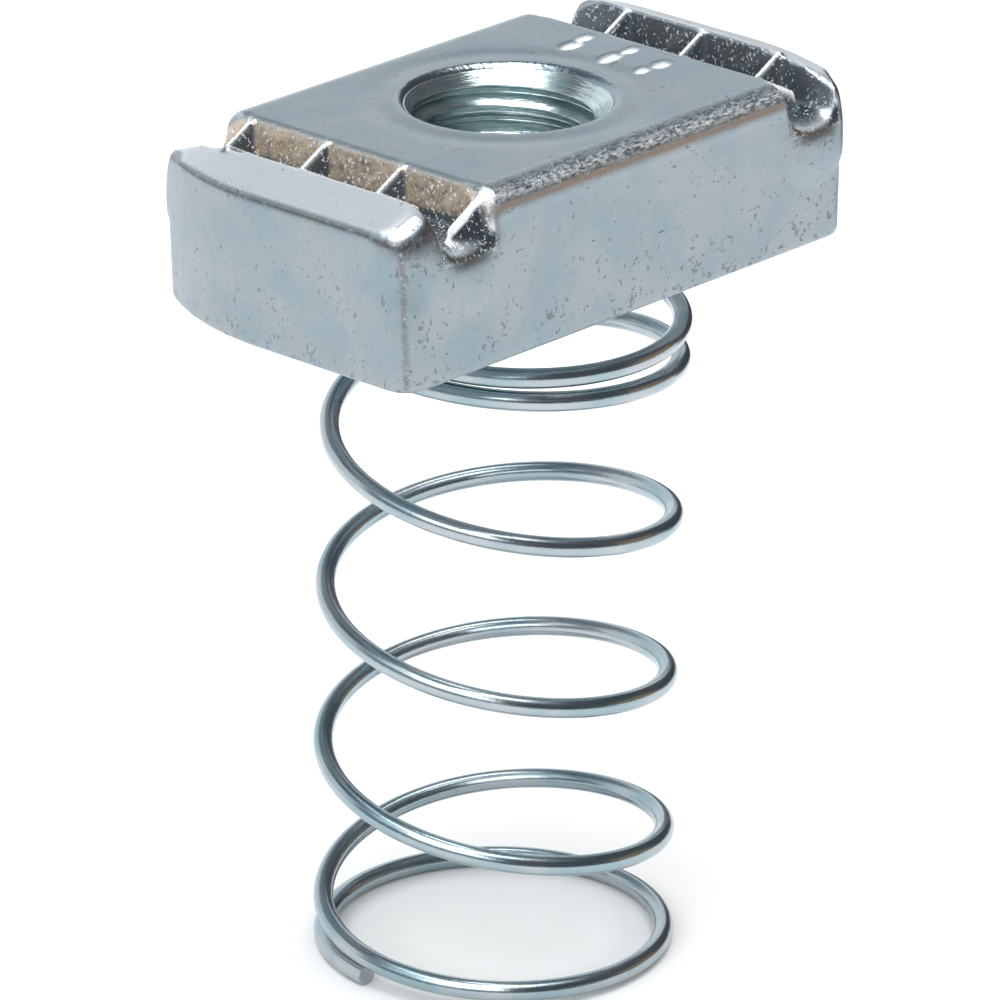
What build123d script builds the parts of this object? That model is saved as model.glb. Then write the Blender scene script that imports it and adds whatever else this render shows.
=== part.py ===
from build123d import *
from math import cos, radians, sin, sqrt, tan
import os

# Strut spring nut: a steel channel nut with a threaded hole, and the long
# spring that holds it up against the channel's lips.
# All sizes are in millimetres. +Z is up along the hole, X is along the nut.
# Both pieces are drawn down from the nut's top face at Z = 0, then raised so
# that the origin is on the hole's axis, half way up the nut.

# --- Channel nut: block ---
nut_length = 34.8          # end to end, at the bottom
nut_width = 19.0           # passes the channel's slot
nut_height = 9.1
end_draft = 0.3            # each end leans out this much from bottom to top
corner_radius = 1.4        # upright corners
turn_radius = 15.5         # two opposite ends swing past the channel's walls
turn_start = 1.0           # where that arc leaves the straight end, from the middle

# --- Channel nut: grooves that take the channel's lips ---
ridge_width = 2.65         # at each end, outside its groove
groove_width = 3.8         # at the top face
plateau_length = nut_length - 2 * (ridge_width + groove_width)   # top face between the grooves
groove_depth = 2.4
groove_wall_angle = 9.0    # the walls lean back from upright
groove_floor_radius = 0.6
ridge_slope = 19.0         # the ridges fall away outwards

# --- Channel nut: swellings pushed out where the grooves end ---
swell_rise = 0.45          # out of the long side
swell_radius = 2.6         # of a swelling's round foot
swell_depth = 3.3          # its middle, below the top face
groove_end_radius = 1.0    # a groove's floor rolls over a swelling

# --- Channel nut: teeth in the grooves ---
tooth_pitch = 5.25
inner_teeth = 4            # on the plateau side of each groove
outer_teeth = 3            # on the ridge side, half a pitch off the inner ones
inner_tooth_shift = -0.5
tooth_crest = 0.25         # width of a tooth's crest
tooth_flank_angle = 11.0
tooth_slope = 28.0         # the crest falls away from its wall
tooth_reach = 2.75         # from its wall across the groove
tooth_root = 0.3           # a tooth's root lies this far inside its wall and floor

# --- Channel nut: edges ---
long_edge_radius = 1.4     # top face to long sides
bottom_edge_radius = 0.4

# --- Threaded hole ---
thread_minor_radius = 4.25
countersink_radius = 5.6
countersink_angle = 45.0   # from the hole's axis
bottom_chamfer = 0.6

# --- Staked nibs that pinch the spring's first turn ---
nib_length = 2.2
nib_thickness = 0.6
nib_grip = 0.2             # past the wire's middle, of its thickness
nib_gap = 0.05
nib_taper = 4.0
nib_turns = (0.15, 0.25)   # where they stand, in turns from the wire's start

# --- Spring ---
wire_diameter = 1.05
coil_radius = 8.94         # to the middle of the wire
top_turns = 1.31           # close turns under the nut
open_turns = 3.74
foot_turns = 1.23          # close turns that stand on the channel's back
top_pitch = 1.11           # drop per turn, close turns
seat_drop = 0.58           # the wire comes away from its seat by this much
seat_turns = 0.4           # over its first turn
open_pitch = 8.79          # drop per turn, open turns
foot_pitch = 0.1           # drop per turn, foot turns
top_blend = 0.5            # turns over which the pitch opens
foot_blend = 0.6           # turns over which it closes again
start_angle = 75.0         # where the wire starts, about Z from +X
seat_clearance = 0.05      # wire to the nut's underside
lean_angle = 3.9           # the turns lie askew, as wound, but for the foot
lean_direction = 256.0     # their low side
foot_offset = 1.0          # the foot stands off the hole's axis
foot_direction = 155.0     # towards here, about Z from +X
arcs_per_turn = 8          # of the path that the wire is swept along

through = 100.0            # longer than any cut needs


# ---------------------------------------------------------------- channel nut
def nut_outline(grow, widen=0):
    """Plan of the block, with each end grown outwards and each side widened."""
    end = nut_length / 2 + grow
    side = nut_width / 2 + widen
    rise = side - turn_start
    turn_end = end - (turn_radius - sqrt(turn_radius**2 - rise**2))
    with BuildSketch() as plan:
        with BuildLine():
            Line((-end, turn_start), (-end, -side))
            Line((-end, -side), (turn_end, -side))
            RadiusArc((turn_end, -side), (end, -turn_start), -turn_radius)
            Line((end, -turn_start), (end, side))
            Line((end, side), (-turn_end, side))
            RadiusArc((-turn_end, side), (-end, turn_start), -turn_radius)
        make_face()
        corners = plan.vertices().filter_by(lambda v: abs(abs(v.Y) - side) < 1e-6)
        fillet(corners, corner_radius)
    return plan.sketch


def long_edge_cut():
    """What is cut away along one long top edge, to round it over."""
    start = (nut_width / 2 - long_edge_radius, 0)
    end = (nut_width / 2, -long_edge_radius)
    with BuildSketch(Plane.YZ) as section:
        with BuildLine():
            RadiusArc(start, end, long_edge_radius)
            Polyline(end, (nut_width, end[1]), (nut_width, nut_height), (start[0], nut_height), start)
        make_face()
    return extrude(section.sketch, through / 2, both=True)


def nut_envelope():
    """Block before its grooves: drafted ends and rounded long top edges."""
    bottom = Pos(0, 0, -nut_height) * nut_outline(0)
    block = loft([bottom.face(), nut_outline(end_draft).face()], ruled=True)
    block = fillet(block.faces().sort_by(Axis.Z)[0].edges(), bottom_edge_radius)
    edge = long_edge_cut()
    return block - edge - Rot(0, 0, 180) * edge


def groove_cut():
    """One groove, on the +X side."""
    inner = plateau_length / 2
    outer = inner + groove_width
    lean = groove_depth * tan(radians(groove_wall_angle))
    with BuildSketch(Plane.XZ) as section:
        with BuildLine():
            Polyline(
                (inner, nut_height), (inner, 0), (inner + lean, -groove_depth),
                (outer - lean, -groove_depth), (outer, 0), (outer, nut_height), close=True,
            )
        make_face()
        floor = section.vertices().filter_by(lambda v: abs(v.Z + groove_depth) < 1e-6)
        fillet(floor, groove_floor_radius)
    return extrude(section.sketch, through / 2, both=True)


def ridge_cut():
    """What is cut away over the +X ridge: its slope follows the end, and its ends roll over."""
    outer = nut_length / 2 - ridge_width
    drop = 2 * ridge_width * tan(radians(ridge_slope))
    low = Pos(0, 0, -drop) * nut_outline(ridge_width, corner_radius)
    crown = loft([low.face(), nut_outline(-ridge_width, corner_radius).face()], ruled=True)
    middle = Pos(outer - groove_width / 2 + nut_length / 2, 0, 0)
    over = middle * Pos(0, 0, nut_height / 2 - drop) * Box(nut_length, 2 * nut_width, nut_height)
    beyond = middle * Box(nut_length, 2 * nut_width, 2 * nut_height)
    tilt = Pos(outer, 0, 0) * Rot(0, ridge_slope, 0) * Pos(-outer, 0, 0)
    edges = [tilt * Rot(0, 0, turn) * long_edge_cut() for turn in (0, 180)]
    return [over - crown] + [edge & beyond for edge in edges]


def swellings():
    """Shallow domes on the long sides, one at each end of each groove."""
    ball_radius = (swell_radius**2 + swell_rise**2) / (2 * swell_rise)
    height = Pos(0, 0, -swell_depth)
    ball = Pos(0, nut_width / 2 + swell_rise - ball_radius, 0) * Sphere(ball_radius)
    foot = Pos(0, nut_width / 2, 0) * Rot(90, 0, 0) * Cylinder(swell_radius, 2 * swell_rise)
    dome = height * (ball & foot)
    middle = (plateau_length + groove_width) / 2
    near = [Pos(x, 0, 0) * dome for x in (-middle, middle)]
    return near + [Rot(0, 0, 180) * one for one in near]


def grooved_block():
    """Block with its swellings and both grooves; each floor rolls over at its ends."""
    cuts = [groove_cut(), *ridge_cut()]
    block = nut_envelope() + swellings() - cuts - [Rot(0, 0, 180) * cut for cut in cuts]
    rims = block.edges().filter_by(GeomType.CIRCLE)
    ends = rims.filter_by(lambda edge: abs(edge.center().Z + groove_depth) < 1e-6)
    return fillet(ends, groove_end_radius)


def tooth(wall, toward, y):
    """A tooth that falls from the top of its wall across the groove."""
    floor = -groove_depth - tooth_root
    flank = tan(radians(tooth_flank_angle))
    fall = tan(radians(tooth_slope))
    quads = []
    for reach in (-tooth_root, 0, tooth_reach):
        crest = -max(reach, 0) * fall
        half_top = tooth_crest / 2
        half_floor = half_top + (crest - floor) * flank
        x = wall + toward * reach
        corners = [(x, y - half_top, crest), (x, y + half_top, crest),
                   (x, y + half_floor, floor), (x, y - half_floor, floor)]
        quads.append(make_face(Polyline(*corners, close=True)).face())
    root = loft(quads[:2], ruled=True)
    return root + loft(quads[1:], ruled=True)


def groove_teeth():
    """All teeth of the +X groove, in two staggered rows."""
    inner = plateau_length / 2
    rows = ((inner, 1, inner_teeth, -inner_tooth_shift),
            (inner + groove_width, -1, outer_teeth, 0.0))
    teeth = []
    for wall, toward, count, shift in rows:
        for index in range(count):
            y = (index - (count - 1) / 2) * tooth_pitch + shift
            teeth.append(tooth(wall, toward, y))
    return teeth


def staked_nibs():
    """Pairs of nibs on the underside, inside and outside the spring's wire."""
    nibs = []
    reach = wire_diameter / 2 + nib_gap + nib_thickness / 2
    for turn in nib_turns:
        height = nib_grip * wire_diameter - nut_height - wire_point(turn)[2]
        for radius in (coil_radius - reach, coil_radius + reach):
            nib = extrude(Rectangle(nib_thickness, nib_length), height, taper=nib_taper)
            turned = Rot(0, 0, wire_angle(turn)) * Pos(radius, 0, -nut_height) * Rot(180, 0, 0)
            nibs.append(turned * nib)
    return nibs


def channel_nut():
    """The whole nut: block, grooves, teeth, threaded hole and nibs."""
    envelope = nut_envelope()
    half_turn = Rot(0, 0, 180)
    block = grooved_block()
    teeth = groove_teeth()
    block += [cut & envelope for cut in teeth]
    block += [cut & envelope for cut in (half_turn * one for one in teeth)]
    return finish_hole(block) + staked_nibs()


def finish_hole(block):
    """Cut the hole at the thread's minor size, with both its lead-ins."""
    sink_depth = (countersink_radius - thread_minor_radius) / tan(radians(countersink_angle))
    hole = Pos(0, 0, -nut_height / 2) * Cylinder(thread_minor_radius, nut_height)
    sink = Pos(0, 0, -sink_depth / 2) * Cone(thread_minor_radius, countersink_radius, sink_depth)
    lead_in = Pos(0, 0, bottom_chamfer / 2 - nut_height) * Cone(
        thread_minor_radius + bottom_chamfer, thread_minor_radius, bottom_chamfer
    )
    return block - hole - sink - lead_in


# --------------------------------------------------------------------- spring
def ramp(turn, start, blend):
    """Turns past start, eased in over the blend."""
    past = turn - start
    if past <= 0:
        return 0.0
    if past < blend:
        return past**2 / (2 * blend)
    return past - blend / 2


def ease(value):
    """Smooth step from 0 to 1."""
    value = min(max(value, 0.0), 1.0)
    return value**2 * (3 - 2 * value)


def wire_angle(turn):
    """Angle about Z; the wire winds anticlockwise as it goes down."""
    return start_angle + 360 * turn


def wire_drop(turn):
    """How far the wire has come down from its start, without the lean."""
    opened = (open_pitch - top_pitch) * ramp(turn, top_turns, top_blend)
    closed = (open_pitch - foot_pitch) * ramp(turn, top_turns + open_turns, foot_blend)
    return top_pitch * turn + seat_drop * ease(turn / seat_turns) + opened - closed


def wire_lean(turn):
    """Height that the askew turns gain or lose; the foot lies flat."""
    fade = ease((turn - top_turns - open_turns + foot_blend / 4) / foot_blend)
    swing = cos(radians(wire_angle(turn) - lean_direction))
    return -coil_radius * tan(radians(lean_angle)) * swing * (1 - fade)


def wire_point(turn):
    """Middle of the wire at this many turns from its start."""
    total = top_turns + open_turns + foot_turns
    stray = foot_offset * sin(radians(90 * wire_drop(turn) / wire_drop(total)))
    x = coil_radius * cos(radians(wire_angle(turn))) + stray * cos(radians(foot_direction))
    y = coil_radius * sin(radians(wire_angle(turn))) + stray * sin(radians(foot_direction))
    start = -nut_height - seat_clearance - wire_diameter / 2 - wire_lean(0)
    return (x, y, start - wire_drop(turn) + wire_lean(turn))


def coil_spring():
    """The wire, swept in one length along a chain of arcs that follows its helix."""
    total = top_turns + open_turns + foot_turns
    arcs = round(total * arcs_per_turn)
    points = [wire_point(total * step / arcs / 2) for step in range(2 * arcs + 1)]
    chain = [ThreePointArc(*points[start:start + 3]) for start in range(0, 2 * arcs, 2)]
    path = Wire([arc.edge() for arc in chain])
    section = Plane(origin=path @ 0, z_dir=path % 0) * Circle(wire_diameter / 2)
    return sweep(section, path=path)


raised = Pos(0, 0, nut_height / 2)
os.makedirs("parts", exist_ok=True)
export_step(raised * channel_nut(), "parts/channel_nut.step")
export_step(raised * coil_spring(), "parts/coil_spring.step")
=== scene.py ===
"""Looks of a strut spring nut: zinc plated channel nut, cut thread and long coil spring.

Everything is in metres, in the part's own frame: the origin is on the threaded hole's axis,
half way up the nut, +Z is up along the hole and X runs along the nut, across its grooves.
"""

import logging
import math
from dataclasses import dataclass
from enum import Enum
from functools import cached_property

import bmesh
import bpy
import numpy as np
from bpy.types import ID, Material, Mesh, Node, NodeTree, Object
from bpy.types import NodeSocket as Socket
from mathutils import Matrix, Vector
from mathutils.bvhtree import BVHTree


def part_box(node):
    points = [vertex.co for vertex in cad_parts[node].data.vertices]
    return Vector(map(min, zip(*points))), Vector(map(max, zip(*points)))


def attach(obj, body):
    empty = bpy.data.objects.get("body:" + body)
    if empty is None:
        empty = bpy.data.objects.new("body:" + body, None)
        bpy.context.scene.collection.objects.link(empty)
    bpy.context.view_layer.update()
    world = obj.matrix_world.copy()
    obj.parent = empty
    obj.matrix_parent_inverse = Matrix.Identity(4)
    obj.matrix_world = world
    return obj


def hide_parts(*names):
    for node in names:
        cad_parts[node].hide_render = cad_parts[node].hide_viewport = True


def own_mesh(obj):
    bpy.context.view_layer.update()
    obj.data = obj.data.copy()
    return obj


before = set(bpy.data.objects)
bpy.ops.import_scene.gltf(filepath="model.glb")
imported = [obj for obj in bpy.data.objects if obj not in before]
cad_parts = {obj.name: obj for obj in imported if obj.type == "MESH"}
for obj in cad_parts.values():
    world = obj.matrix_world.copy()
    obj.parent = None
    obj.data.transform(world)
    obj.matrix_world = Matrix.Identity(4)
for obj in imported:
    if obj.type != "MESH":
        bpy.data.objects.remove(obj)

LOG = logging.getLogger("spring_nut")
MM = 0.001
DEGREES = 180 / math.pi
FULL_TURN = 2 * math.pi
MERGE = 1e-7  # points closer than this become one, in metres
# Numbers stored on the block: polish and worn are the plate's own, the others place painted sheen, shade,
# brown reflections, highlights and glints
WEAR_AND_PAINTED_LIGHT = ("polish", "crown", "edge", "worn", "crest", "stain", "rust", "streak", "shade", "sparkle")

Array = np.ndarray
Feed = Socket | float | tuple  # what the input of a node takes


class Slot(Enum):
    """Material slots of the record."""

    PLATE = "zinc_plate"
    WIRE = "spring_wire"


class Body(Enum):
    """Rigid bodies that the pieces ride on."""

    NUT = "nut"
    SPRING = "spring"


class Blend(Enum):
    """Kinds of mix node: data type, and the places of the first, second and result sockets."""

    NUMBER = ("FLOAT", 2, 3, 0)
    COLOUR = ("RGBA", 6, 7, 2)


@dataclass(frozen=True)
class Pattern:
    """Noise over a surface, and what it is turned into."""

    scale: float = 1.0  # per millimetre
    detail: float = 2.0
    roughness: float = 0.5
    stretch: tuple = (1.0, 1.0, 1.0)  # scale along each axis
    ramp: tuple = (0.0, 1.0)  # noise from and to, then result from and to
    depth: float = 0.0  # relief of a height of 1, in metres


class Graph:
    """Short hand for adding and joining the nodes of one tree."""

    def __init__(self, tree: NodeTree) -> None:
        """Keep the tree that the nodes go into."""
        self.tree = tree

    def node(self, kind: str, inputs: dict | None = None, **settings: object) -> Node:
        """Add a node.

        Args:
            kind: Blender's type name of the node.
            inputs: Values or sockets for its inputs, by name or index.
            **settings: Properties of the node, such as its operation.

        Returns:
            The new node.
        """
        made = self.tree.nodes.new(kind)
        for name, value in settings.items():
            setattr(made, name, value)
        for name, value in (inputs or {}).items():
            self.feed(made.inputs[name], value)
        return made

    def out(self, kind: str, inputs: dict | None = None, **settings: object) -> Socket:
        """Add a node as above, and give its first output."""
        return self.node(kind, inputs, **settings).outputs[0]

    def feed(self, socket: Socket, value: Feed | ID) -> None:
        """Join a socket to another, or set its value.

        Args:
            socket: The input to feed.
            value: An output socket, or a plain value.
        """
        if isinstance(value, Socket):
            self.tree.links.new(value, socket)
        else:
            socket.default_value = value

    def math(self, operation: str, *values: Feed, clamp: bool = False) -> Socket:
        """Add a math node of the tree's own kind.

        Args:
            operation: The operation's name, such as MULTIPLY.
            *values: Its one to three inputs, as sockets or numbers.
            clamp: Whether the result is held between 0 and 1.

        Returns:
            The result's socket.
        """
        inputs = dict(enumerate(values))
        return self.out("ShaderNodeMath", inputs, operation=operation, use_clamp=clamp)

    def most(self, *values: Feed) -> Socket:
        """Take the largest of several values.

        Args:
            *values: Sockets or numbers.

        Returns:
            The largest one's socket.
        """
        largest = values[0]
        for value in values[1:]:
            largest = self.math("MAXIMUM", largest, value)
        return largest

    def blend(self, factor: Feed, first: Feed, second: Feed, kind: Blend = Blend.COLOUR) -> Socket:
        """Mix two colours or two numbers.

        Args:
            factor: Share of the second one.
            first: A colour or number, or its socket.
            second: A colour or number, or its socket.
            kind: What is mixed.

        Returns:
            The mixed colour or number.
        """
        data_type, first_at, second_at, result_at = kind.value
        inputs = {0: factor, first_at: first, second_at: second}
        return self.node("ShaderNodeMix", inputs, data_type=data_type).outputs[result_at]

    def range(self, value: Feed, low: float, high: float, start: float = 0.0, end: float = 1.0) -> Socket:
        """Map a value smoothly from one range to another.

        Args:
            value: The socket to map.
            low: Where the ramp starts.
            high: Where the ramp ends.
            start: Result at low.
            end: Result at high.

        Returns:
            The result's socket.
        """
        inputs = {0: value, 1: low, 2: high, 3: start, 4: end}
        return self.out("ShaderNodeMapRange", inputs, interpolation_type="SMOOTHSTEP")


class ShaderGraph(Graph):
    """Graph of one surface finish."""

    def __init__(self, name: str) -> None:
        """Make an empty material.

        Args:
            name: The material's name.
        """
        self.material = bpy.data.materials.new(name)
        self.material.use_nodes = True
        super().__init__(self.material.node_tree)
        self.tree.nodes.clear()

    @cached_property
    def mm(self) -> Socket:
        """Object coordinates, in millimetres."""
        coords = self.node("ShaderNodeTexCoord").outputs["Object"]
        return self.out("ShaderNodeVectorMath", {0: coords, 3: 1 / MM}, operation="SCALE")

    def attribute(self, name: str, output: str = "Fac") -> Socket:
        """What the mesh carries at each point, a number or a vector."""
        return self.node("ShaderNodeAttribute", attribute_name=name).outputs[output]

    def noise(self, pattern: Pattern, vector: Socket | None = None) -> Socket:
        """Noise of a pattern, from 0 to 1.

        Args:
            pattern: Its scale, detail and stretch.
            vector: Where it is read, if not on the object's coordinates.

        Returns:
            The noise's socket.
        """
        vector = self.mm if vector is None else vector
        if pattern.stretch != Pattern.stretch:
            inputs = {0: vector, 1: pattern.stretch}
            vector = self.out("ShaderNodeVectorMath", inputs, operation="MULTIPLY")
        inputs = {"Vector": vector, "Scale": pattern.scale, "Detail": pattern.detail,
                  "Roughness": pattern.roughness}
        return self.node("ShaderNodeTexNoise", inputs).outputs["Fac"]

    def mask(self, pattern: Pattern) -> Socket:
        """Noise of a pattern, sent through the pattern's ramp."""
        return self.range(self.noise(pattern), *pattern.ramp)

    def bump(self, height: Socket, depth: float, normal: Socket | None = None) -> Socket:
        """Turn a height from 0 to 1 into a normal.

        Args:
            height: The height.
            depth: Relief of a height of 1, in metres.
            normal: A normal to build on, if any.

        Returns:
            The normal.
        """
        inputs = {"Height": height, "Distance": depth}
        if normal is not None:
            inputs["Normal"] = normal
        return self.out("ShaderNodeBump", inputs)

    def finish(self, shader: Socket) -> Material:
        """End the material with that shader, and give it back."""
        self.tree.nodes.active = self.node("ShaderNodeOutputMaterial", {"Surface": shader})
        return self.material

    def surface(self, colour: Feed, rough: Feed, normal: Socket, metal: Feed = 1.0) -> Material:
        """End the material with a metal surface.

        Args:
            colour: Its colour.
            rough: Its roughness.
            normal: Its normal.
            metal: How much of a metal it is.

        Returns:
            The material.
        """
        inputs = {"Base Color": colour, "Metallic": metal, "Roughness": rough, "Normal": normal}
        return self.finish(self.out("ShaderNodeBsdfPrincipled", inputs))


@dataclass(frozen=True)
class PlateFinish:
    """Bright zinc plate with a pale blue passivate over formed steel.

    Where each layer lies is read from the numbers that NutBlock.mark stores. Most layers are painted
    light: sheen, shade, brown reflections, highlights and glints.
    """

    name: str = "zinc_plate_blue"
    blue: tuple = (0.272, 0.337, 0.376, 1.0)
    grey: tuple = (0.325, 0.367, 0.395, 1.0)
    warm: tuple = (0.332, 0.342, 0.334, 1.0)
    # pale: painted sheen on the ridges' crowns and painted pale streaks on the long edges' roll
    pale: tuple = (0.72, 0.745, 0.76, 1.0)
    pit: tuple = (0.15, 0.16, 0.17, 1.0)
    # worn: white of painted highlights and glints on the grooves' crests and lips, the punch marks and
    # the bright specks
    worn: tuple = (0.93, 0.95, 0.96, 1.0)
    # painted brown reflection on the upper part of the grooves' inner walls
    stain: tuple = (0.52, 0.40, 0.29, 1.0)
    # painted brown reflection along the lower part of the long edges' roll
    rust: tuple = (0.24, 0.175, 0.135, 1.0)
    # dark: painted shade in the grooves and under the ridges' rolled ends
    dark: tuple = (0.032, 0.039, 0.050, 1.0)
    # edge_line: painted shade line along the ridges' folds and the upright edges
    edge_line: tuple = (0.13, 0.105, 0.09, 1.0)
    warm_share: float = 0.45
    line_share: float = 0.85  # of the painted shade lines along the edges
    satin: float = 0.36  # roughness of the faces
    satin_spread: float = 0.18  # and how far the grain moves it
    polished: float = 0.2  # roughness in the grooves and round the hole
    speck_rough: float = 0.25  # added on the bright specks, which carry painted glints
    dull_loss: float = 0.7  # of the metal's gloss, where painted light, shade and reflections lie
    crown_dull: float = 0.4  # how dull the ridges' crowns are
    clouds: Pattern = Pattern(0.28, 4.0, 0.6, ramp=(0.36, 0.64))
    warm_clouds: Pattern = Pattern(0.75, 4.0, 0.65, ramp=(0.52, 0.72))
    fine: Pattern = Pattern(2.6, 4.0, 0.7, ramp=(0.34, 0.52))
    wall_reflection_ramp: tuple = (0.32, 0.56, 0.45, 1.0)
    sheen_streaks: Pattern = Pattern(1.0, 4.0, 0.7, (2.4, 8.0, 8.0), (0.32, 0.66, 0.0, 0.9))
    grain: Pattern = Pattern(9.0, 3.0, 0.6)
    speck_groups: Pattern = Pattern(1.1, ramp=(0.38, 0.62, -0.04, 0.03))
    specks: Pattern = Pattern(5.2, 2.0, 0.6, ramp=(0.60, 0.65), depth=0.04 * MM)
    pit_groups: Pattern = Pattern(0.55, 3.0, 0.6)
    pit_group_share: float = 0.30
    pit_wear_share: float = 0.045  # how much denser they are along worn edges
    pits: tuple = (  # round ones, then scratches along the nut and upright
        Pattern(1.0, 3.0, 0.55, (2.9, 2.9, 2.9), (0.828, 0.888)),
        Pattern(1.0, 3.0, 0.55, (1.4, 3.9, 3.9), (0.844, 0.904)),
        Pattern(1.0, 3.0, 0.55, (3.8, 3.8, 1.3), (0.844, 0.904)),
    )
    pit_share: float = 0.60
    pit_polish_loss: float = 0.8  # how many of them a polished surface loses
    pit_depth: float = 0.05 * MM
    ripple: Pattern = Pattern(0.9, depth=0.03 * MM)
    peel: Pattern = Pattern(5.5, 4.0, 0.65, depth=0.012 * MM)
    drag: Pattern = Pattern(1.0, 3.0, 0.6, (4.5, 0.7, 1.1), depth=0.05 * MM)

    def material(self) -> Material:
        """Build the finish.

        Returns:
            The material.
        """
        g = ShaderGraph(self.name)
        polish, crown, edge, worn, crest, stain, rust, streak, shade, sparkle = (
            g.attribute(name) for name in WEAR_AND_PAINTED_LIGHT
        )
        fine = g.noise(self.fine)
        line = g.math("MULTIPLY", edge, g.range(fine, *self.fine.ramp), clamp=True)
        streak = g.math("MULTIPLY", streak, g.mask(self.sheen_streaks))
        stain = g.math("MULTIPLY", stain, g.range(fine, *self.wall_reflection_ramp))
        pitted = self.pitted(g, polish, worn)
        # bright: painted glints on the specks
        bright = g.math("MULTIPLY", self.speckled(g), sparkle)
        colour = self.face_colour(g)
        # Layers: painted sheen, painted shade lines, painted brown reflections, painted sheen streaks,
        # painted brown reflection on the walls, painted shade, real pits, then painted highlights and
        # glints
        for share, layer in (
            (crown, self.pale), (g.math("MULTIPLY", line, self.line_share), self.edge_line),
            (rust, self.rust), (streak, self.pale), (stain, self.stain), (shade, self.dark),
            (pitted, self.pit), (g.most(bright, crest), self.worn),
        ):
            colour = g.blend(share, colour, layer)
        grain = g.math("SUBTRACT", g.noise(self.grain), 0.5)
        satin = g.math("ADD", g.math("MULTIPLY", grain, self.satin_spread), self.satin)
        rough = g.blend(polish, satin, self.polished, Blend.NUMBER)
        rough = g.math("MULTIPLY_ADD", bright, self.speck_rough, rough)
        dull = g.most(bright, crest, stain, shade, streak, rust)
        dull = g.math("MULTIPLY_ADD", crown, self.crown_dull, dull, clamp=True)
        metal = g.math("MULTIPLY_ADD", dull, -self.dull_loss, 1.0)
        return g.surface(colour, rough, self.relief(g, pitted, bright, polish), metal)

    def face_colour(self, g: ShaderGraph) -> Socket:
        """Cloudy blue, grey and faintly warm passivate."""
        colour = g.blend(g.mask(self.clouds), self.blue, self.grey)
        return g.blend(g.math("MULTIPLY", g.mask(self.warm_clouds), self.warm_share), colour, self.warm)

    def speckled(self, g: ShaderGraph) -> Socket:
        """Where the tiny bright specks are, in loose groups: raised grains that carry painted glints."""
        grains = g.math("ADD", g.noise(self.specks), g.mask(self.speck_groups))
        return g.range(grains, *self.specks.ramp)

    def pitted(self, g: ShaderGraph, polish: Socket, worn: Socket) -> Socket:
        """Small dark pits and short scratches, in loose groups and denser along the edges.

        Args:
            g: The finish's graph.
            polish: How polished the surface is, from 0 to 1.
            worn: How worn the surface is, from 0 to 1.

        Returns:
            How deep in a pit the surface is, from 0 to 1.
        """
        group = g.math("MULTIPLY", g.noise(self.pit_groups), self.pit_group_share)
        group = g.math("MULTIPLY_ADD", worn, self.pit_wear_share, group)
        found = g.most(*(g.range(g.math("ADD", g.noise(pit), group), *pit.ramp) for pit in self.pits))
        plain = g.math("MULTIPLY_ADD", polish, -self.pit_polish_loss, 1.0)
        return g.math("MULTIPLY", g.math("MULTIPLY", found, plain), self.pit_share, clamp=True)

    def relief(self, g: ShaderGraph, pitted: Socket, bright: Socket, polish: Socket) -> Socket:
        """Ripples, grain, drag marks, pits and specks as a normal.

        Args:
            g: The finish's graph.
            pitted: Depth of the pits, from 0 to 1.
            bright: Where the bright grains stand, from 0 to 1.
            polish: How polished the surface is, from 0 to 1.

        Returns:
            The normal.
        """
        normal = g.bump(g.noise(self.ripple), self.ripple.depth)
        normal = g.bump(g.noise(self.peel), self.peel.depth, normal)
        normal = g.bump(g.math("MULTIPLY", g.noise(self.drag), polish), self.drag.depth, normal)
        normal = g.bump(g.math("SUBTRACT", 1.0, pitted), self.pit_depth, normal)
        return g.bump(bright, self.specks.depth, normal)


@dataclass(frozen=True)
class ThreadFinish:
    """Zinc plate in the cut thread, where the passivate gathers blue and green."""

    name: str = "zinc_thread"
    light: tuple = (0.66, 0.73, 0.73, 1.0)
    deep: tuple = (0.46, 0.58, 0.60, 1.0)
    roughness: float = 0.2
    rings: Pattern = Pattern(1.0, 3.0, stretch=(0.5, 0.5, 6.0), ramp=(0.3, 0.7))
    tool_marks: Pattern = Pattern(1.2, 3.0, stretch=(1.0, 1.0, 9.0), depth=0.02 * MM)

    def material(self) -> Material:
        """Build the finish.

        Returns:
            The material.
        """
        g = ShaderGraph(self.name)
        colour = g.blend(g.mask(self.rings), self.deep, self.light)
        normal = g.bump(g.noise(self.tool_marks), self.tool_marks.depth)
        return g.surface(colour, self.roughness, normal)


@dataclass(frozen=True)
class WireFinish:
    """Bright zinc on drawn spring wire, with faint draw lines along it."""

    name: str = "zinc_wire"
    light: tuple = (0.45, 0.485, 0.51, 1.0)
    blue: tuple = (0.31, 0.41, 0.45, 1.0)
    line_count: float = 5.0  # how close the draw lines lie round the wire
    line_pace: float = 0.12  # how fast they change along it, per millimetre
    lines: Pattern = Pattern(1.6, 3.0, ramp=(0.2, 0.8, 0.14, 0.30), depth=0.003 * MM)  # to roughness
    clouds: Pattern = Pattern(0.22, ramp=(0.35, 0.65))
    peel: Pattern = Pattern(7.0, 3.0, depth=0.006 * MM)

    def material(self) -> Material:
        """Build the finish.

        Returns:
            The material.
        """
        g = ShaderGraph(self.name)
        pace = g.math("MULTIPLY", g.attribute("along"), self.line_pace / MM)
        along = g.out("ShaderNodeCombineXYZ", {2: pace})
        inputs = {0: g.attribute("section", "Vector"), 1: (self.line_count,) * 3, 2: along}
        spot = g.out("ShaderNodeVectorMath", inputs, operation="MULTIPLY_ADD")
        lines = g.noise(self.lines, spot)
        colour = g.blend(g.mask(self.clouds), self.blue, self.light)
        normal = g.bump(g.noise(self.peel), self.peel.depth, g.bump(lines, self.lines.depth))
        return g.surface(colour, g.range(lines, *self.lines.ramp), normal)


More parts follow.
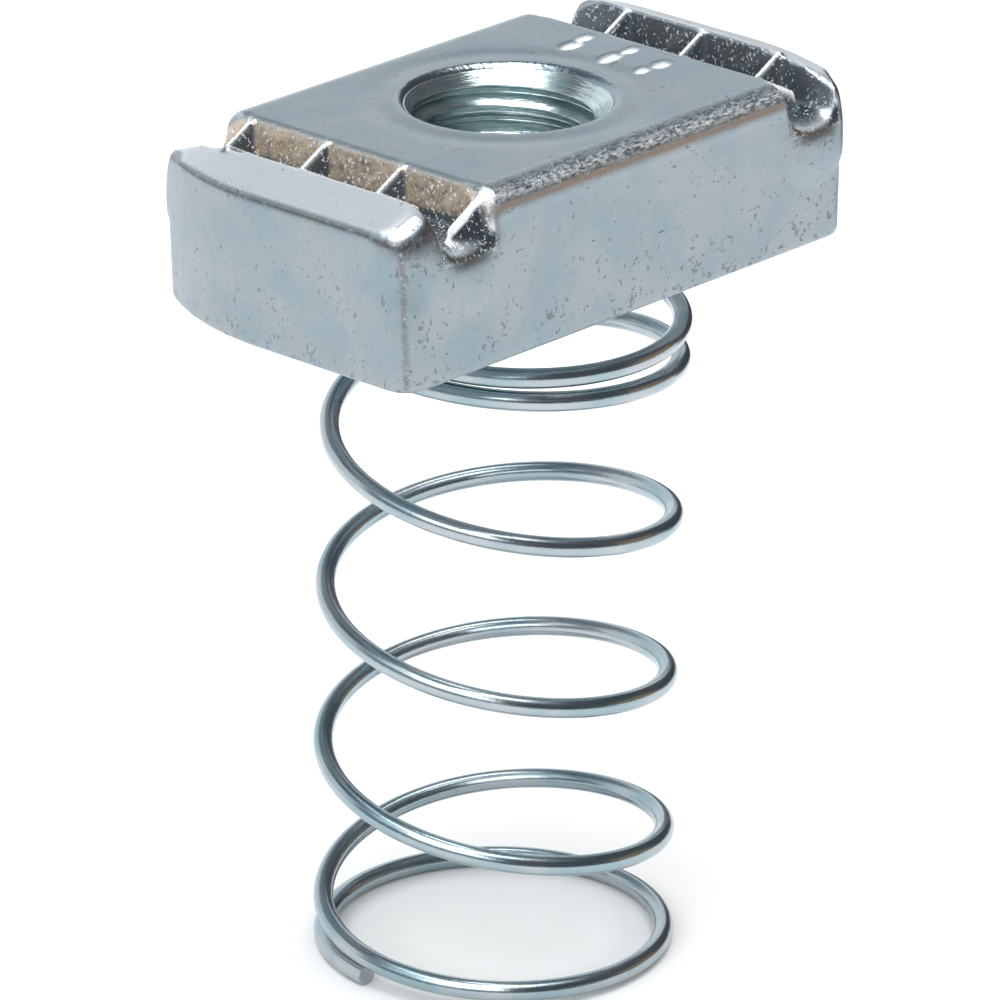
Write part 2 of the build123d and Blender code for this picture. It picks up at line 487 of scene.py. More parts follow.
def linked(name: str, data: ID) -> Object:
    """Put a mesh, a lamp or a camera into the scene, at the origin.

    Args:
        name: The object's name.
        data: The mesh, lamp or camera.

    Returns:
        The object.
    """
    made = bpy.data.objects.new(name, data)
    bpy.context.scene.collection.objects.link(made)
    return made


def applied(piece: Object) -> Object:
    """Turn a piece's modifiers into its mesh, and remove them.

    Args:
        piece: The piece.

    Returns:
        The same piece.
    """
    graph = bpy.context.evaluated_depsgraph_get()
    graph.update()
    mesh = bpy.data.meshes.new_from_object(piece.evaluated_get(graph), depsgraph=graph)
    piece.modifiers.clear()
    plain = piece.data
    piece.data = mesh
    bpy.data.meshes.remove(plain)
    mesh.name = piece.name
    mesh.shade_smooth()
    return piece


def grow(piece: Object, tree: NodeTree, values: dict) -> Object:
    """Run a Geometry Nodes tree on a piece and keep the result as its mesh.

    Args:
        piece: The object that carries the tree.
        tree: The tree.
        values: Its inputs, by name.

    Returns:
        The piece.
    """
    modifier = piece.modifiers.new("build", "NODES")
    modifier.node_group = tree
    for item in tree.interface.items_tree:
        if item.item_type == "SOCKET" and item.in_out == "INPUT" and item.name in values:
            modifier[item.identifier] = values[item.name]
    return applied(piece)


def above(value: Array, limit: float, soft: float) -> Array:
    """Ramp from 0 to 1, as wide as soft and with the limit in its middle."""
    return np.clip((value - limit) / soft + 0.5, 0, 1)


def band(value: Array, middle: float, half: float) -> Array:
    """Ramp from 0 up to 1 at the middle and down again, half wide on each side."""
    return np.clip(1 - np.abs(value - middle) / half, 0, 1)


class TreeGraph(Graph):
    """Graph of one Geometry Nodes tree with named inputs."""

    def __init__(self, name: str, inputs: dict[str, str]) -> None:
        """Make an empty tree.

        Args:
            name: The tree's name.
            inputs: Socket type of each input, by name. A geometry and a material are added.
        """
        super().__init__(bpy.data.node_groups.new(name, "GeometryNodeTree"))
        self.tree.interface.new_socket("Geometry", in_out="INPUT", socket_type="NodeSocketGeometry")
        for title, kind in {**inputs, "Material": "NodeSocketMaterial"}.items():
            self.tree.interface.new_socket(title, in_out="INPUT", socket_type=kind)
        self.tree.interface.new_socket("Geometry", in_out="OUTPUT", socket_type="NodeSocketGeometry")
        self.given = self.node("NodeGroupInput").outputs

    def store(self, geometry: Socket, name: str, value: Socket, kind: str = "FLOAT") -> Socket:
        """Store a value under a name at each point of a curve, and give the curve back."""
        inputs = {"Geometry": geometry, "Name": name, "Value": value}
        return self.out("GeometryNodeStoreNamedAttribute", inputs, data_type=kind)

    def finish(self, geometry: Socket) -> NodeTree:
        """End the tree: real geometry with its material.

        Args:
            geometry: The geometry's socket.

        Returns:
            The tree.
        """
        real = self.out("GeometryNodeRealizeInstances", {0: geometry})
        inputs = {"Geometry": real, "Material": self.given["Material"]}
        self.node("NodeGroupOutput", {0: self.out("GeometryNodeSetMaterial", inputs)})
        return self.tree


@dataclass
class NutBlock:
    """Formed block of the channel nut, softened from its hard-edged solid.

    A pair is the middle and the width of a ramp or band: shares of a normal where it is called tilt.
    """

    node: str = "channel_nut"
    voxel: float = 0.17 * MM
    bore_radius: float = 5.2 * MM  # opened for the thread's sleeve
    sink_radius: float = 5.6 * MM
    plateau_half: float = 10.95 * MM
    groove_outer: float = 14.8 * MM
    groove_depth: float = 2.9 * MM  # down to the lowest polished points
    flat_half: float = 8.1 * MM  # where the long edges start to roll over
    roll_depth: float = 1.6 * MM
    sharp: float = 0.15 * MM  # width of a ramp at a crisp edge
    soft: float = 0.3 * MM  # and at a round one
    drift: float = 0.6  # share of the way to its neighbours that a point moves in a round
    edge_rounds: int = 3  # of smoothing, on every edge
    shoulder_rounds: int = 12  # on the ridges' shoulders
    end_rounds: int = 60  # at the ends of the grooves and ridges
    shoulder_start: tuple = (16.7 * MM, 0.5 * MM)  # along the nut, from its middle
    shoulder_depth: tuple = (2.6 * MM, 0.5 * MM)
    end_start: tuple = (10.85 * MM, 0.3 * MM)  # along the nut
    end_inset: tuple = (7.9 * MM, 1.2 * MM)  # across it
    end_depth: tuple = (4.2 * MM, 1.0 * MM)
    dimples: tuple = (  # plain punch marks: x, y, half length, half width and depth in mm
        (8.2, 3.2, 0.95, 0.52, 0.20), (9.5, 3.5, 0.75, 0.42, 0.15), (8.1, 0.4, 1.0, 0.52, 0.20),
        (9.6, 0.4, 0.75, 0.42, 0.15), (7.7, -2.2, 0.6, 0.42, 0.16), (9.0, -2.3, 0.75, 0.50, 0.18),
    )
    dimple_shape: float = 0.8  # lower is flatter in the middle
    dish_radius: float = 6.9 * MM  # shallow ring pressed in round the countersink
    dish_width: float = 0.7 * MM
    dish_depth: float = 0.10 * MM
    pressed_depth: tuple = (0.3 * MM, 0.1 * MM)  # how far down the marks reach
    glow_depth: tuple = (0.5 * MM, 0.1 * MM)
    glow_ring: tuple = (0.25, 0.7)  # part of a mark with a painted glint, in shares of its half size
    worn_shift: float = 0.05 * MM  # softening that leaves an edge fully worn
    wall_tilt: tuple = (0.6, 0.3)  # a groove's walls
    crown_tilt: tuple = (0.86, 0.1)  # the ridges' flat crowns, where sheen is painted
    fold_tilt: tuple = (0.45, 0.25)  # where a ridge falls away, and a painted shade line runs
    hollow_tilt: tuple = (0.35, 0.3)  # under a ridge's rolled end, where shade is painted
    corner_tilt: tuple = (0.62, 0.10)  # the upright edges, where a painted shade line runs
    brown_tilt: tuple = (0.30, 0.17)  # the lower part of the long edges' roll, where a brown reflection is painted
    sheen_streak_tilt: tuple = (0.68, 0.36)  # the upper part of it, where pale sheen is painted in streaks
    lip_tilt: tuple = (0.8, 0.2)  # the grooves' rolled ends, where a glint is painted
    lip_start: tuple = (8.5 * MM, 0.5 * MM)
    flank_end: tuple = (8.3 * MM, 0.4 * MM)
    wall_reflection_depth: tuple = (1.9 * MM, 0.3 * MM)
    crest_depth: tuple = (2.0 * MM, 0.4 * MM)
    ridge_depth: tuple = (3.2 * MM, 0.4 * MM)
    foot_depth: tuple = (7.0 * MM, 3.0 * MM)  # where the wear near the foot sets in

    @cached_property
    def top(self) -> float:
        """Height of the top face."""
        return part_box(self.node)[1].z

    def build(self, material: Material) -> Object:
        """Make the block, with the numbers that its finish reads.

        Args:
            material: Its finish.

        Returns:
            The piece.
        """
        opened = self.opened_copy()
        tree = BVHTree.FromPolygons([v.co.copy() for v in opened.vertices],
                                    [tuple(p.vertices) for p in opened.polygons])
        piece = linked("nut_block", opened)
        remesh = piece.modifiers.new("skin", "REMESH")
        remesh.mode = "VOXEL"
        remesh.voxel_size = self.voxel
        applied(piece)
        edges = np.empty(len(piece.data.edges) * 2, int)
        piece.data.edges.foreach_get("vertices", edges)
        edges = edges.reshape(-1, 2)
        points = np.array([tree.find_nearest(vert.co)[0] for vert in piece.data.vertices])
        shaped = self.soften(points, edges, self.shoulder_weight(points), self.shoulder_rounds)
        shaped = self.soften(shaped, edges, self.end_weight(points), self.end_rounds)
        shaped = self.soften(shaped, edges, np.ones(len(points)), self.edge_rounds)
        shift = shaped - points
        shaped[:, 2] -= self.pressed(shaped)
        piece.data.vertices.foreach_set("co", shaped.ravel())
        piece.data.update()
        self.mark(piece.data, shaped, shift)
        piece.data.materials.clear()
        piece.data.materials.append(material)
        return piece

    def opened_copy(self) -> Mesh:
        """Copy the solid's mesh, merged, with its bore opened out for the thread.

        Returns:
            The copy.
        """
        work = bmesh.new()
        work.from_mesh(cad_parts[self.node].data)
        bmesh.ops.remove_doubles(work, verts=work.verts, dist=MERGE)
        step = self.sink_radius - self.bore_radius
        for vert in work.verts:
            radius = math.hypot(vert.co.x, vert.co.y)
            if radius < self.bore_radius:
                vert.co.x *= self.bore_radius / radius
                vert.co.y *= self.bore_radius / radius
                if vert.co.z > 0:
                    vert.co.z = self.top - step
        bmesh.ops.triangulate(work, faces=work.faces)
        mesh = bpy.data.meshes.new("nut_block")
        work.to_mesh(mesh)
        work.free()
        return mesh

    def soften(self, points: Array, edges: Array, weight: Array, rounds: int) -> Array:
        """Round the edges by letting each point drift to the middle of its neighbours.

        Args:
            points: Points of the mesh.
            edges: Its edges.
            weight: How far each point may drift, from 0 to 1.
            rounds: How many times.

        Returns:
            The new points.
        """
        count = np.bincount(edges.ravel(), minlength=len(points))[:, None]
        share = self.drift * weight[:, None]
        moved = points.copy()
        for _ in range(rounds):
            total = np.stack([
                np.bincount(edges[:, 0], moved[edges[:, 1], axis], len(points))
                + np.bincount(edges[:, 1], moved[edges[:, 0], axis], len(points))
                for axis in range(3)
            ], 1)
            moved = (1 - share) * moved + share * total / count
        return moved

    def spans(self, points: Array) -> tuple[Array, Array, Array]:
        """How far points lie from the middle, along and across the nut, and how deep under its top."""
        return np.abs(points[:, 0]), np.abs(points[:, 1]), self.top - points[:, 2]

    def shoulder_weight(self, points: Array) -> Array:
        """Where the block was rounded over along the ridges' shoulders, up to a half."""
        x, _, depth = self.spans(points)
        return 0.5 * above(x, *self.shoulder_start) * (1 - above(depth, *self.shoulder_depth))

    def end_weight(self, points: Array) -> Array:
        """Where the punch rolled the grooves' and ridges' ends over the long sides, from 0 to 1."""
        x, y, depth = self.spans(points)
        return above(x, *self.end_start) * above(y, *self.end_inset) * (1 - above(depth, *self.end_depth))

    def dimple_spots(self, points: Array) -> list[tuple[Array, float]]:
        """How far each point is from each punch mark, and that mark's depth.

        Args:
            points: Points of the mesh.

        Returns:
            For each mark, the distance in shares of its half size, and its depth in metres.
        """
        x, y = points[:, 0] / MM, points[:, 1] / MM
        return [(np.hypot((x - centre_x) / half_x, (y - centre_y) / half_y), depth * MM)
                for centre_x, centre_y, half_x, half_y, depth in self.dimples]

    def pressed(self, points: Array) -> Array:
        """Depth of the punch marks and of the ring round the countersink, at the top face.

        Args:
            points: Points of the mesh.

        Returns:
            Depth at each point.
        """
        radius = np.hypot(points[:, 0], points[:, 1])
        depth = self.dish_depth * np.exp(-((radius - self.dish_radius) / self.dish_width) ** 2)
        for away, deep in self.dimple_spots(points):
            depth += deep * np.clip(1 - away ** 2, 0, 1) ** self.dimple_shape
        return depth * (1 - above(self.spans(points)[2], *self.pressed_depth))

    def punched(self, points: Array) -> Array:
        """Where glints are painted on the punch marks, from 0 to 1."""
        glow = sum(band(away, *self.glow_ring) for away, _ in self.dimple_spots(points))
        return np.clip(1.6 * glow, 0, 1) * (1 - above(self.spans(points)[2], *self.glow_depth))

    def polished(self, points: Array) -> tuple[Array, Array]:
        """How polished each point is: the punch leaves the grooves bright.

        Args:
            points: Points of the mesh.

        Returns:
            Where the grooves are, and the polish, each from 0 to 1.
        """
        x, y, depth = self.spans(points)
        groove = above(x, self.plateau_half, self.sharp) * (1 - above(x, self.groove_outer, self.sharp))
        groove *= 1 - above(depth, self.groove_depth, self.sharp)
        rolled = above(y, self.flat_half, self.sharp) * (1 - above(depth, self.roll_depth, self.sharp))
        radius = np.hypot(points[:, 0], points[:, 1])
        hole = 1 - above(radius, self.sink_radius + self.sharp, self.sharp)
        return groove, np.clip(groove + 0.45 * rolled + hole, 0, 1)

    def mark(self, mesh: Mesh, points: Array, shift: Array) -> None:
        """Store the numbers that the finish reads, each from 0 to 1. Most place painted sheen, shade,
        brown reflections, highlights and glints.

        Args:
            mesh: The block's mesh.
            points: Its points.
            shift: How the softening moved them.
        """
        normals = np.empty(len(points) * 3)
        mesh.vertex_normals.foreach_get("vector", normals)
        normals = normals.reshape(-1, 3)
        x, y, depth = self.spans(points)
        side_x, side_y, lift = np.abs(normals[:, 0]), np.abs(normals[:, 1]), normals[:, 2]
        raised = np.clip(-(shift * normals).sum(1) / self.worn_shift, 0, 1)
        groove, polish = self.polished(points)
        wall = groove * above(side_x, *self.wall_tilt)
        inner = wall * (np.sign(points[:, 0]) * normals[:, 0] > 0)
        outer = wall - inner
        flank = groove * above(side_y, *self.wall_tilt) * (1 - above(y, *self.flank_end))
        upper_wall = 1 - above(depth, *self.wall_reflection_depth)
        lip = groove * above(y, *self.lip_start) * (1 - wall)
        ridge = above(x, self.groove_outer, self.sharp) * (1 - above(depth, *self.ridge_depth))
        fold = ridge * band(lift, *self.fold_tilt)
        hollow = ridge * above(y, *self.lip_start) * band(lift, *self.hollow_tilt)
        corner = above(np.minimum(side_x, side_y), *self.corner_tilt) * (1 - groove)
        flat = 1 - above(x, self.plateau_half, self.soft)
        rolled = flat * above(y, self.flat_half, self.soft) * (lift > 0)
        # painted pale sheen on the upper part of the roll
        streak = rolled * band(lift, *self.sheen_streak_tilt)
        foot = above(depth, *self.foot_depth)
        # painted highlights on raised edges in the grooves, painted glints on the grooves' lips and the
        # punch marks
        crest = raised * groove * (1 - wall) * (1 - above(depth, *self.crest_depth))
        crest += 0.6 * lip * band(lift, *self.lip_tilt) + self.punched(points)
        # painted sheen on the ridges' flat crowns
        crown = 0.8 * ridge * above(lift, *self.crown_tilt)
        # painted shade lines along the ridges' folds and the upright edges
        edge = 1.5 * fold + 0.6 * corner
        worn = np.clip(raised + fold + foot, 0, 1) * (1 - groove)
        # painted brown reflection on the lower part of the long edges' roll
        rust = np.minimum(1.2 * rolled * band(lift, *self.brown_tilt), 0.9)
        # painted shade: the grooves' outer walls and flanks, the inner walls' lower part and under the
        # ridges' rolled ends
        shade = 0.8 * np.clip(outer + flank + inner * (1 - upper_wall) + 0.9 * hollow, 0, 1)
        # where the bright specks' painted glints show
        sparkle = groove * (0.85 - 0.35 * outer - 0.45 * lip) + 0.4 * streak + 0.25 * corner
        # painted brown reflection on the inner walls' upper part
        stain = inner * upper_wall
        numbers = (polish, crown, edge, worn, crest, stain, rust, streak, shade, sparkle)
        for name, values in zip(WEAR_AND_PAINTED_LIGHT, numbers):
            made = mesh.attributes.new(name, "FLOAT", "POINT")
            made.data.foreach_set("value", np.clip(values, 0, 1).astype(np.float32))


@dataclass
class HoleThread:
    """Cut thread in the hole, with the lower part of its countersink."""

    major: float = 5.0 * MM
    minor: float = 4.25 * MM
    pitch: float = 1.5 * MM
    wall: float = 5.5 * MM  # outside of the sleeve, inside the block
    sink_radius: float = 5.57 * MM  # just proud of the block's own countersink
    top_gap: float = 0.3 * MM  # from the nut's top face to the sleeve
    bottom_gap: float = 0.02 * MM
    half_height: float = 4.55 * MM  # of the nut
    crest: float = 0.22  # where the profile's flank starts, in shares of half a pitch
    root: float = 0.86  # and where it ends
    sides: int = 144
    rows: int = 220

    def build(self, material: Material) -> Object:
        """Make the threaded sleeve.

        Args:
            material: Its finish.

        Returns:
            The piece.
        """
        piece = linked("hole_thread", bpy.data.meshes.new("hole_thread"))
        sizes = {
            "Major": self.major, "Minor": self.minor, "Pitch": self.pitch, "Wall": self.wall,
            "Sink": self.sink_radius - self.half_height, "Top": self.half_height - self.top_gap,
            "Bottom": self.bottom_gap - self.half_height,
        }
        return grow(piece, self.tree(list(sizes)), {**sizes, "Material": material})

    def tree(self, sizes: list[str]) -> NodeTree:
        """Wind the thread's profile round the hole, and close it at the back.

        Args:
            sizes: Names of the tree's inputs.

        Returns:
            The tree.
        """
        g = TreeGraph("cut_thread", dict.fromkeys(sizes, "NodeSocketFloat"))
        last_cut = self.rows + 1.0  # row 0 is the back at the foot, and the cut starts at row 1
        last = self.rows + 3.0  # the back comes again at the top and at the foot
        grid = g.out("GeometryNodeMeshGrid", {"Size X": 1.0, "Size Y": 1.0, "Vertices X": self.sides + 1,
                                              "Vertices Y": self.rows + 4})
        spot = g.out("GeometryNodeInputPosition")
        spot = g.node("ShaderNodeSeparateXYZ", {0: spot}).outputs
        angle = g.math("MULTIPLY", g.math("ADD", spot[0], 0.5), FULL_TURN)
        row = g.math("ROUND", g.math("MULTIPLY", g.math("ADD", spot[1], 0.5), last))
        share = g.math("DIVIDE", g.math("SUBTRACT", row, 1.0), float(self.rows), clamp=True)
        share = g.math("MULTIPLY", share, g.math("LESS_THAN", row, last - 0.5))
        tall = g.math("SUBTRACT", g.given["Top"], g.given["Bottom"])
        height = g.math("MULTIPLY_ADD", share, tall, g.given["Bottom"])
        radius = self.cut_radius(g, angle, height)
        back = g.most(g.math("LESS_THAN", row, 0.5), g.math("GREATER_THAN", row, last_cut + 0.5))
        radius = g.math("MULTIPLY_ADD", back, g.math("SUBTRACT", g.given["Wall"], radius), radius)
        x = g.math("MULTIPLY", radius, g.math("COSINE", angle))
        y = g.math("MULTIPLY", radius, g.math("SINE", angle))
        place = g.out("ShaderNodeCombineXYZ", {0: x, 1: y, 2: height})
        wound = g.out("GeometryNodeSetPosition", {"Geometry": grid, "Position": place})
        closed = g.out("GeometryNodeMergeByDistance", {"Geometry": wound, "Distance": MERGE})
        return g.finish(closed)

    def cut_radius(self, g: TreeGraph, angle: Socket, height: Socket) -> Socket:
        """Radius of the cut surface: thread, countersink and the lead-in at the bottom.

        Args:
            g: The tree's graph.
            angle: Angle about the hole.
            height: Height in the nut.

        Returns:
            The radius.
        """
        turns = g.math("DIVIDE", height, g.given["Pitch"])
        turns = g.math("SUBTRACT", turns, g.math("DIVIDE", angle, FULL_TURN))
        flank = g.math("ABSOLUTE", g.math("MULTIPLY_ADD", g.math("FRACT", turns), 2.0, -1.0))
        depth = g.out("ShaderNodeMapRange", {0: flank, 1: self.crest, 2: self.root})
        span = g.math("SUBTRACT", g.given["Major"], g.given["Minor"])
        radius = g.math("MULTIPLY_ADD", depth, span, g.given["Minor"])
        cone = g.math("ADD", g.given["Sink"], height)
        lead = g.math("SUBTRACT", g.given["Major"], g.math("SUBTRACT", height, g.given["Bottom"]))
        return g.most(radius, cone, lead)


@dataclass
class CoilSpring:
    """Long spring wound from round wire in one length, its turns askew as made.

    Lengths are in millimetres and angles in degrees, and only the travel is in metres.
    """

    wire_diameter: float = 1.05
    coil_radius: float = 8.94
    nut_height: float = 9.1
    seat_clearance: float = 0.05
    top_turns: float = 1.31
    open_turns: float = 3.74
    foot_turns: float = 1.23
    top_pitch: float = 1.11
    open_pitch: float = 8.79
    foot_pitch: float = 0.1
    top_blend: float = 0.5
    foot_blend: float = 0.6
    seat_drop: float = 0.58
    seat_turns: float = 0.4
    start_angle: float = 75.0
    lean_angle: float = 3.9
    lean_direction: float = 256.0
    foot_offset: float = 1.0
    foot_direction: float = 155.0
    shrink: float = 0.999  # keeps the wire within the solid's box
    sides: int = 28
    steps_per_turn: int = 120
    travel: float = 28.0 * MM

    @property
    def total(self) -> float:
        """Turns in the whole wire."""
        return self.top_turns + self.open_turns + self.foot_turns

    @staticmethod
    def ease(value: Array) -> Array:
        """Smooth step from 0 to 1."""
        held = np.clip(value, 0, 1)
        return held * held * (3 - 2 * held)

    @staticmethod
    def ramp(turn: Array, start: float, blend: float) -> Array:
        """Turns past start, eased in over the blend."""
        past = np.maximum(turn - start, 0)
        return np.where(past < blend, past ** 2 / (2 * blend), past - blend / 2)

    def angle(self, turn: Array) -> Array:
        """Angle of the wire about the hole, in radians."""
        return np.radians(self.start_angle + 360 * turn)

    def drop(self, turn: Array) -> Array:
        """How far the wire has come down from its start.

        Args:
            turn: Turns from the start.

        Returns:
            The drop in millimetres.
        """
        foot = self.top_turns + self.open_turns
        opened = (self.open_pitch - self.top_pitch) * self.ramp(turn, self.top_turns, self.top_blend)
        closed = (self.open_pitch - self.foot_pitch) * self.ramp(turn, foot, self.foot_blend)
        seat = self.seat_drop * self.ease(turn / self.seat_turns)
        return self.top_pitch * turn + seat + opened - closed

    def lean(self, turn: Array) -> Array:
        """Lift of the wire where its turns lie askew, which fades out at the foot.

        Args:
            turn: Turns from the start.

        Returns:
            The lift in millimetres.
        """
        past = turn - self.top_turns - self.open_turns + self.foot_blend / 4
        fade = self.ease(past / self.foot_blend)
        swing = np.cos(self.angle(turn) - math.radians(self.lean_direction))
        return -self.coil_radius * math.tan(math.radians(self.lean_angle)) * swing * (1 - fade)

    def points(self) -> Array:
        """Wind the wire's middle line.

        Returns:
            Its points, in metres.
        """
        turn = np.linspace(0, self.total, round(self.total * self.steps_per_turn) + 1)
        drop = self.drop(turn)
        stray = self.foot_offset * np.sin(math.pi / 2 * drop / drop[-1])
        aside = math.radians(self.foot_direction)
        x = self.coil_radius * np.cos(self.angle(turn)) + stray * math.cos(aside)
        y = self.coil_radius * np.sin(self.angle(turn)) + stray * math.sin(aside)
        lean = self.lean(turn)
        start = -self.nut_height / 2 - self.seat_clearance - self.wire_diameter / 2 - lean[0]
        return np.stack([x, y, start - drop + lean], 1) * MM

    def build(self, material: Material) -> Object:
        """Make the wire.

        Args:
            material: Its finish.

        Returns:
            The piece.
        """
        points = self.points()
        mesh = bpy.data.meshes.new("spring_wire")
        mesh.from_pydata(points.tolist(), [(i, i + 1) for i in range(len(points) - 1)], [])
        radius = self.wire_diameter / 2 * self.shrink * MM
        return grow(linked("spring_wire", mesh), self.tree(),
                    {"Radius": radius, "Sides": self.sides, "Material": material})

    @staticmethod
    def tree() -> NodeTree:
        """Draw a round section along the middle line.

        Returns:
            The tree.
        """
        g = TreeGraph("drawn_wire", {"Radius": "NodeSocketFloat", "Sides": "NodeSocketInt"})
        line = g.out("GeometryNodeMeshToCurve", {"Mesh": g.given["Geometry"]})
        length = g.node("GeometryNodeSplineParameter").outputs["Length"]
        line = g.store(line, "along", length)
        inputs = {"Resolution": g.given["Sides"], "Radius": g.given["Radius"]}
        ring = g.out("GeometryNodeCurvePrimitiveCircle", inputs, mode="RADIUS")
        spot = g.out("GeometryNodeInputPosition")
        unit = g.out("ShaderNodeVectorMath", {0: spot}, operation="NORMALIZE")
        ring = g.store(ring, "section", unit, "FLOAT_VECTOR")
        inputs = {"Curve": line, "Profile Curve": ring, "Fill Caps": True}
        return g.finish(g.out("GeometryNodeCurveToMesh", inputs))


@dataclass(frozen=True)
class Patch:
    """Light from one part of the surroundings, as the metal shows it."""

    turn: tuple  # azimuth from and to, in degrees
    height: tuple  # elevation from and to, in degrees
    colour: tuple


@dataclass
class Studio:
    """Floor, lamp, surroundings and camera. The camera's lengths are in millimetres."""

    target: tuple = (-5.844, -4.825, -14.420)
    distance: float = 403.17
    azimuth: float = -46.756
    elevation: float = 21.736
    roll: float = -0.242
    lens: float = 286.92
    sensor: float = 36.0
    nearest: float = 0.01  # what the camera sees starts here, in metres
    floor_half: float = 4.0  # half the floor's width, in metres
    floor_colour: tuple = (0.88, 0.88, 0.88, 1.0)
    floor_roughness: float = 0.9
    plain_light: float = 0.80  # even light on plain surfaces
    sky: tuple = (0.115, 0.12, 0.135, 1.0)
    patches: tuple = (  # each one lies over those before it
        Patch((120.0, 190.0), (-10.0, 80.0), (0.30, 0.35, 0.39, 1.0)),  # cool card on the left
        Patch((-190.0, -128.0), (-10.0, 80.0), (0.30, 0.35, 0.39, 1.0)),  # and past half a turn
        Patch((150.0, 190.0), (30.0, 70.0), (1.3, 1.4, 1.45, 1.0)),  # soft box high on the left
        Patch((-190.0, -128.0), (24.0, 70.0), (3.6, 3.7, 3.75, 1.0)),  # bright box for the wire
        Patch((-52.0, -16.0), (2.0, 24.0), (0.42, 0.29, 0.19, 1.0)),  # warm card low on the right
        Patch((26.0, 138.0), (-4.0, 37.0), (1.02, 1.08, 1.12, 1.0)),  # broad window behind
        Patch((48.0, 100.0), (30.0, 56.0), (0.30, 0.34, 0.38, 1.0)),  # cool card over the window
        Patch((-190.0, 190.0), (66.0, 100.0), (2.2, 2.3, 2.35, 1.0)),  # soft light overhead
    )
    patch_blend: float = 4.0  # degrees over which a patch fades
    wall_radius: float = 0.13
    wall_height: float = 0.045
    wall_lift: float = 0.0005  # keeps it clear of the floor
    wall_turn: tuple = (-14.0, 38.0)
    wall_steps: int = 24
    wall_colour: tuple = (0.085, 0.08, 0.09, 1.0)
    lamp_place: tuple = (-0.06, -0.06, 1.0)
    lamp_size: float = 0.86
    lamp_power: float = 6.0  # in watts

    def build(self) -> None:
        """Set up the whole studio."""
        self.floor()
        self.world()
        self.lamp()
        self.wall()
        self.camera()
        bpy.context.scene.view_settings.view_transform = "Standard"

    @staticmethod
    def staged(name: str, points: list, faces: list, material: Material) -> Object:
        """Make a piece of the studio, which is no part of the object.

        Args:
            name: Its name.
            points: Its points, in metres.
            faces: Its faces, by point.
            material: Its material.

        Returns:
            The piece.
        """
        mesh = bpy.data.meshes.new(name)
        mesh.from_pydata(points, [], faces)
        mesh.materials.append(material)
        made = linked(name, mesh)
        return made

    def floor(self) -> None:
        """Lay a pale floor under the spring's foot, clear when seen from below."""
        low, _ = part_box("coil_spring")
        half = self.floor_half
        g = ShaderGraph("floor_pale")
        inputs = {"Base Color": self.floor_colour, "Roughness": self.floor_roughness}
        pale = g.out("ShaderNodeBsdfPrincipled", inputs)
        clear = g.out("ShaderNodeBsdfTransparent")
        below = g.node("ShaderNodeNewGeometry").outputs["Backfacing"]
        both = g.out("ShaderNodeMixShader", {0: below, 1: pale, 2: clear})
        corners = [(x, y, low.z) for x, y in ((-half, -half), (half, -half), (half, half), (-half, half))]
        self.staged("floor", corners, [(0, 1, 2, 3)], g.finish(both))

    def wall(self) -> None:
        """Stand a low dark wall beside the spring, seen only in the metal."""
        low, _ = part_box("coil_spring")
        row = self.wall_steps + 1
        turns = np.radians(np.linspace(*self.wall_turn, row))
        points = [(self.wall_radius * math.cos(turn), self.wall_radius * math.sin(turn), low.z + level)
                  for level in (self.wall_lift, self.wall_height) for turn in turns]
        faces = [(i, i + 1, i + 1 + row, i + row) for i in range(self.wall_steps)]
        g = ShaderGraph("wall_dark")
        glow = g.out("ShaderNodeEmission", {"Color": self.wall_colour, "Strength": 1.0})
        made = self.staged("dark_wall", points, faces, g.finish(glow))
        made.visible_camera = False
        made.visible_diffuse = False
        made.visible_shadow = False

    def world(self) -> None:
        """White behind the view and on plain surfaces; patches of light in the reflections."""
        world = bpy.data.worlds.new("studio")
        bpy.context.scene.world = world
        world.use_nodes = True
        world.node_tree.nodes.clear()
        g = Graph(world.node_tree)
        way = g.node("ShaderNodeTexCoord").outputs["Generated"]
        way = g.node("ShaderNodeSeparateXYZ", {0: way}).outputs
        height = g.math("MULTIPLY", g.math("ARCSINE", way[2]), DEGREES)
        turn = g.math("MULTIPLY", g.math("ARCTAN2", way[1], way[0]), DEGREES)
        colour = self.sky
        for patch in self.patches:
            sides, heights = self.within(g, turn, patch.turn), self.within(g, height, patch.height)
            colour = g.blend(g.math("MULTIPLY", sides, heights), colour, patch.colour)
        path = g.node("ShaderNodeLightPath").outputs
        seen = g.math("MULTIPLY_ADD", path["Is Diffuse Ray"], self.plain_light, path["Is Camera Ray"])
        soft, white = (g.out("ShaderNodeBackground", {"Color": light, "Strength": 1.0})
                       for light in (colour, (1.0,) * 4))
        both = g.out("ShaderNodeMixShader", {0: seen, 1: soft, 2: white})
        g.node("ShaderNodeOutputWorld", {"Surface": both})

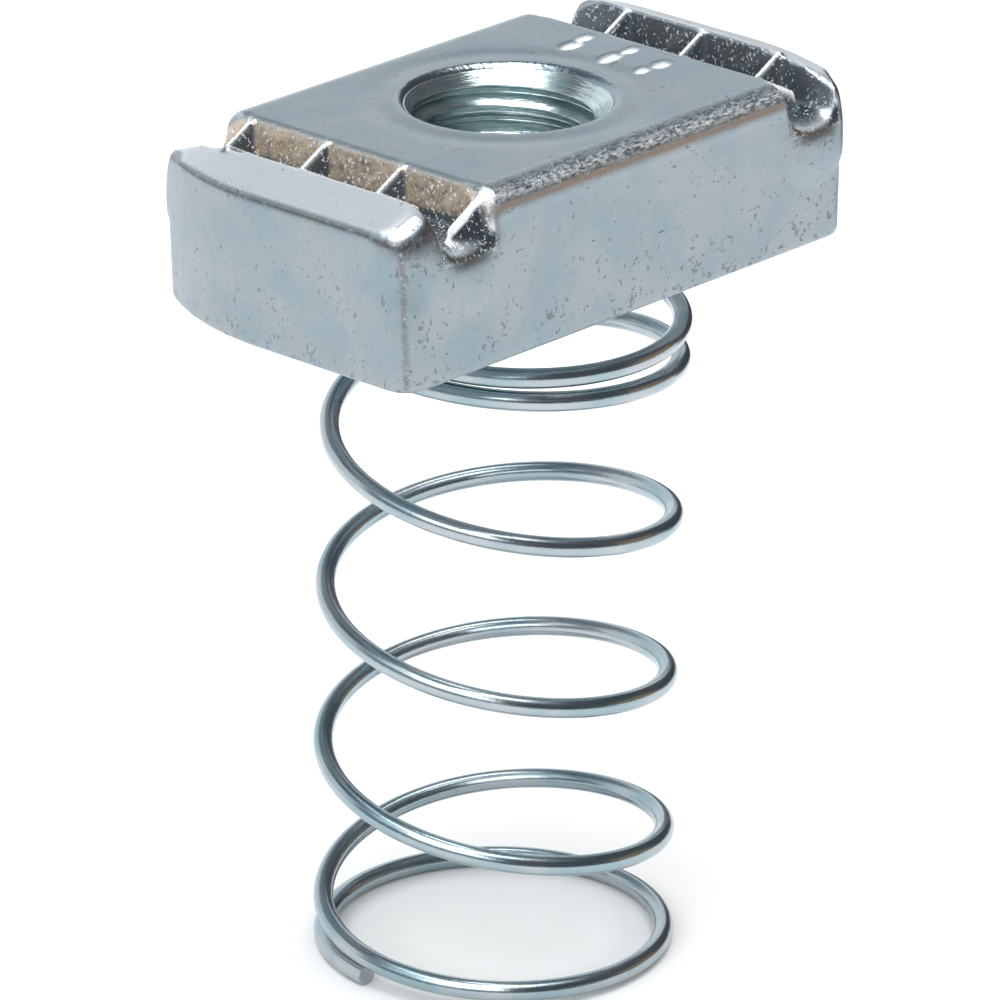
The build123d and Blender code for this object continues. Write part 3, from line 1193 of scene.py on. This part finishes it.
    def within(self, g: Graph, value: Socket, span: tuple[float, float]) -> Socket:
        """Whether an angle lies in a span, with soft ends.

        Args:
            g: The world's graph.
            value: The angle in degrees.
            span: Where the span starts and ends.

        Returns:
            From 0 to 1.
        """
        soft = self.patch_blend
        start = g.range(value, span[0] - soft, span[0] + soft)
        return g.math("MULTIPLY", start, g.range(value, span[1] - soft, span[1] + soft, 1.0, 0.0))

    def lamp(self) -> None:
        """Hang a broad round soft box overhead, turned to the nut."""
        data = bpy.data.lights.new("lamp_top", "AREA")
        data.shape = "DISK"
        data.size = self.lamp_size
        data.energy = self.lamp_power
        made = linked("lamp_top", data)
        made.location = self.lamp_place
        made.rotation_euler = Vector(self.lamp_place).to_track_quat("Z", "Y").to_euler()

    def camera(self) -> None:
        """Set the camera before the nut's near corner."""
        turn, lift, roll = (math.radians(value) for value in (self.azimuth, self.elevation, self.roll))
        back = Vector((math.sin(turn) * math.cos(lift), -math.cos(turn) * math.cos(lift), math.sin(lift)))
        right = (-back).cross(Vector((0, 0, 1))).normalized()
        up = right.cross(-back)
        turned_right = right * math.cos(roll) + up * math.sin(roll)
        turned_up = up * math.cos(roll) - right * math.sin(roll)
        data = bpy.data.cameras.new("camera")
        data.lens = self.lens
        data.sensor_width = self.sensor
        data.clip_start = self.nearest
        made = linked("camera", data)
        made.matrix_world = Matrix((turned_right, turned_up, back)).transposed().to_4x4()
        made.location = (Vector(self.target) + self.distance * back) * MM
        bpy.context.scene.camera = made


def triangles(piece: Object) -> int:
    """Count a piece's triangles."""
    piece.data.calc_loop_triangles()
    return len(piece.data.loop_triangles)


def main() -> None:
    """Build the pieces in order and log their triangle counts."""
    logging.basicConfig(level=logging.INFO, format="%(name)s: %(message)s")
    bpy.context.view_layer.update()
    block = NutBlock().build(PlateFinish().material())
    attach(block, Body.NUT.value)
    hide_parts("channel_nut")
    LOG.info("nut block: %d triangles", triangles(block))
    thread = HoleThread().build(ThreadFinish().material())
    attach(thread, Body.NUT.value)
    LOG.info("hole thread: %d triangles", triangles(thread))
    spring = CoilSpring()
    wire = spring.build(WireFinish().material())
    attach(wire, Body.SPRING.value)
    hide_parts("coil_spring")
    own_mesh(wire)
    LOG.info("spring wire: %d triangles", triangles(wire))
    Studio().build()


if __name__ == "__main__":
    main()
